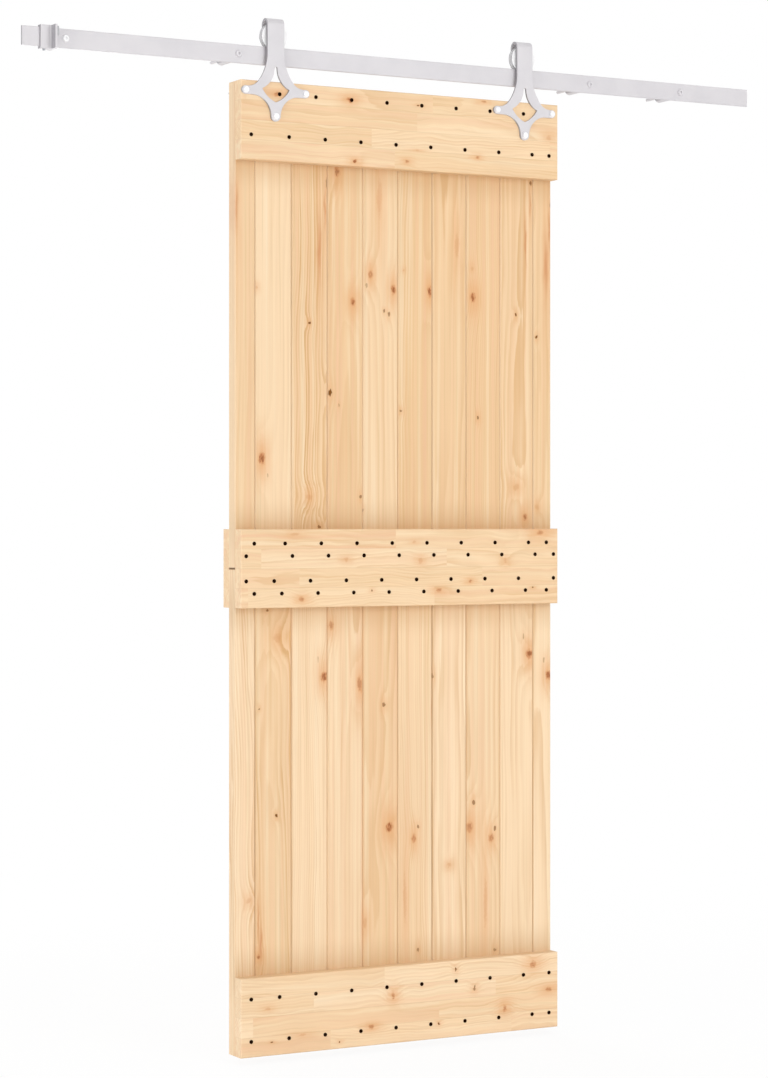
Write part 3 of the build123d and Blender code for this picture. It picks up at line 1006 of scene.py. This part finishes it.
screwHead = makeScrewHead(ledgeScrew)
blackScrew = makeScrewMaterial("blackScrew", screwBlack)
doorMiddle = (doorTop + doorBottom) / 2
topPlaces, bottomPlaces, middlePlaces = [], [], []
for i, shift in enumerate(screwRows["edgeShifts"]):
    topHeight = doorTop - screwRows["topDrop"] - i * screwRows["spacing"]
    bottomHeight = doorBottom + screwRows["bottomRise"] + (1 - i) * screwRows["spacing"]
    topPlaces += screwRow(topHeight, shift, endShift=0.0)
    bottomPlaces += screwRow(bottomHeight, shift, endShift=0.0)
middleRows = zip(screwRows["middleHeights"], screwRows["middleShifts"], screwRows["endShifts"])
for height, shift, endShift in middleRows:
    middlePlaces += screwRow(doorMiddle + height, shift, endShift)
addScrews("topLedgeScrews", topPlaces, screwHead, blackScrew)
addScrews("middleLedgeScrews", middlePlaces, screwHead, blackScrew)
addScrews("bottomLedgeScrews", bottomPlaces, screwHead, blackScrew)
print("screws done:", len(topPlaces) + len(middlePlaces) + len(bottomPlaces))


# Floor, light and camera

floor = dict(
    size=40.0,
    drop=0.015,
    colour=(0.95, 0.95, 0.95, 1.0),
    roughness=0.9,
    whiteShare=0.92,
    shadowReach=(0.9, 3.2),
)


def seenDirectly(tree):
    path = tree.nodes.new("ShaderNodeLightPath").outputs
    seen = calc(tree, "MAXIMUM", path["Is Camera Ray"], path["Is Glossy Ray"])
    return calc(tree, "MAXIMUM", seen, path["Is Transmission Ray"])


def makeFloor():
    bm = bmesh.new()
    bmesh.ops.create_grid(bm, x_segments=1, y_segments=1, size=floor["size"] / 2)
    bmesh.ops.translate(bm, verts=bm.verts[:], vec=(0, 0, doorBottom - floor["drop"]))
    mesh = bpy.data.meshes.new("floor")
    bm.to_mesh(mesh)
    bm.free()
    plain = {"Base Color": floor["colour"], "Roughness": floor["roughness"], "Specular IOR Level": 0.0}
    material, tree, shader = newMaterial("paleFloor", **plain)
    glow = tree.nodes.new("ShaderNodeEmission")
    blend = tree.nodes.new("ShaderNodeMixShader")
    x, y = split(tree, objectPlace(tree))[:2]
    away = calc(tree, "SQRT", addUp(tree, times(tree, x, x), times(tree, y, y)))
    white = eased(tree, away, *floor["shadowReach"], floor["whiteShare"], 1.0)
    plug(tree, blend.inputs[0], times(tree, seenDirectly(tree), white))
    plug(tree, blend.inputs[1], shader.outputs[0])
    plug(tree, blend.inputs[2], glow.outputs[0])
    plug(tree, tree.nodes["Material Output"].inputs["Surface"], blend.outputs[0])
    mesh.materials.append(material)
    piece = bpy.data.objects.new("floor", mesh)
    bpy.context.scene.collection.objects.link(piece)


studio = dict(
    aim=(0.05, -0.05, -1.1),
    lamps=dict(
        key=dict(place=(1.8, -7.0, 0.6), size=4.0, power=193.0),
        left=dict(place=(-5.6, -0.6, -1.0), size=3.0, power=95.0),
        back=dict(place=(0.5, 5.0, 0.5), size=3.0, power=90.0),
    ),
    skyLight=0.3,
    zenithLight=0.85,
    skyRange=(-0.1, 1.0),
)


def makeStudio():
    aim = Vector(studio["aim"])
    for name, lamp in studio["lamps"].items():
        data = bpy.data.lights.new(name, "AREA")
        data.shape = "SQUARE"
        data.size = lamp["size"]
        data.energy = lamp["power"]
        light = bpy.data.objects.new(name, data)
        light.location = lamp["place"]
        light.rotation_euler = (aim - light.location).to_track_quat("-Z", "Y").to_euler()
        bpy.context.scene.collection.objects.link(light)
    world = bpy.data.worlds.new("studio")
    world.use_nodes = True
    bpy.context.scene.world = world
    tree = world.node_tree
    height = split(tree, tree.nodes.new("ShaderNodeTexCoord").outputs["Generated"])[2]
    sky = eased(tree, height, *studio["skyRange"], studio["skyLight"], studio["zenithLight"])
    strength = calc(tree, "MAXIMUM", seenDirectly(tree), sky)
    plug(tree, tree.nodes["Background"].inputs["Color"], (1.0, 1.0, 1.0, 1.0))
    plug(tree, tree.nodes["Background"].inputs["Strength"], strength)
    bpy.context.scene.view_settings.view_transform = "Standard"


viewpoint = dict(place=(-2.9775, -5.5203, -0.9977), turn=28.5815, sensor=36.0, lens=93.686, shiftY=-0.0187)


def makeCamera():
    data = bpy.data.cameras.new("camera")
    data.sensor_width = viewpoint["sensor"]
    data.lens = viewpoint["lens"]
    data.shift_y = viewpoint["shiftY"]
    camera = bpy.data.objects.new("camera", data)
    camera.location = viewpoint["place"]
    camera.rotation_euler = (math.radians(90), 0, -math.radians(viewpoint["turn"]))
    bpy.context.scene.collection.objects.link(camera)
    bpy.context.scene.camera = camera


makeFloor()
makeStudio()
makeCamera()
print("stage done")
